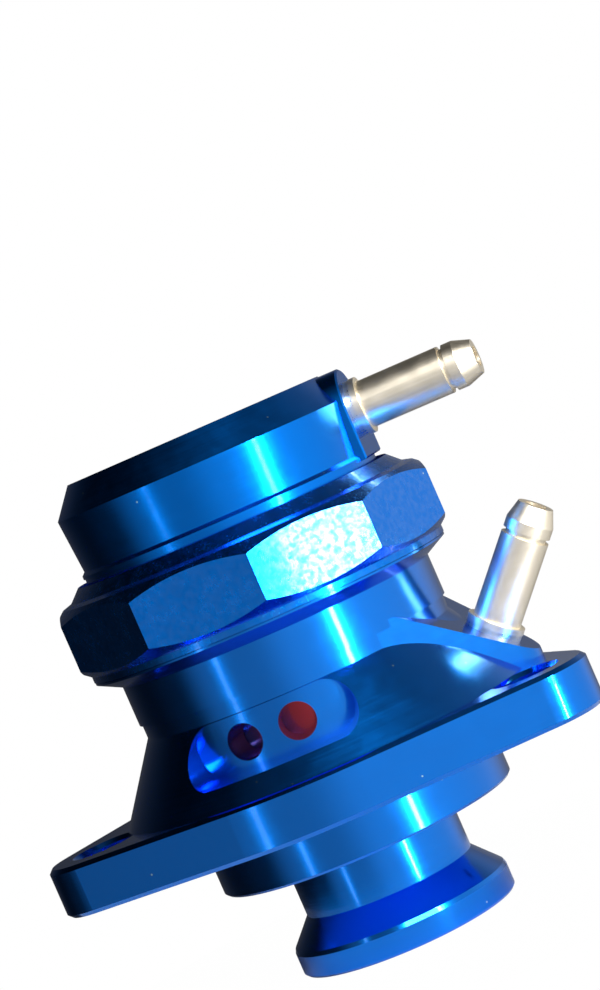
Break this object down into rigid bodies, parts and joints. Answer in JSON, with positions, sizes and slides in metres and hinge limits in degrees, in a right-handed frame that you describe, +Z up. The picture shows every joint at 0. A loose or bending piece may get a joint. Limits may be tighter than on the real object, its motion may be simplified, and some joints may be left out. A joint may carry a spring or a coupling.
{
  "type": "blow-off valve",
  "caption": "Turbo blow-off valve: spring-loaded piston in a flanged body with vent slots, a ring-nut cap and hose nipples.",
  "frame": {"origin": "centre of the inlet spigot's mouth", "axes": "+Z up the valve's axis from the spigot to the cap, +X the way both hose nipples point"},
  "size_m": [0.0823, 0.074, 0.0762],
  "materials": {
    "blue_anodised": "glossy blue anodised",
    "red_anodised": "glossy red anodised",
    "bare_steel": "turned, bare",
    "dark_steel": "black oxide",
    "spring_steel": "drawn wire",
    "plain_aluminium": "turned, bare",
    "black_rubber": "matt black rubber",
    "white_plastic": "low-friction plastic"
  },
  "bodies": {
    "valve": {"valve_body": "blue_anodised", "collar_nut": "blue_anodised", "thrust_washer": "white_plastic", "cap_o_ring": "black_rubber", "flange_o_ring": "black_rubber", "seat_ring": "plain_aluminium", "boost_nipple": "bare_steel", "boost_nipple_washer": "bare_steel"},
    "piston": {"piston": "red_anodised", "piston_o_ring_upper": "black_rubber", "piston_o_ring_lower": "black_rubber", "piston_wear_ring": "white_plastic", "nose_seal": "black_rubber", "nose_retainer": "plain_aluminium", "nose_screw": "dark_steel", "return_spring": "spring_steel"},
    "cap": {"top_cap": "blue_anodised", "cap_nipple": "bare_steel", "cap_nipple_washer": "bare_steel", "spring_shim": "spring_steel"}
  },
  "joints": [
    {"name": "piston_slide", "type": "slide", "parent": "valve", "child": "piston", "axis": [0, 0, 1], "range_m": [0, 0.013], "stiffness_N_per_m": 1800, "springref_m": -0.012, "deforming": ["return_spring"]},
    {"name": "cap_swivel", "type": "hinge", "parent": "valve", "child": "cap", "pos_m": [0, 0, 0.07], "axis": [0, 0, 1], "continuous": true}
  ]
}
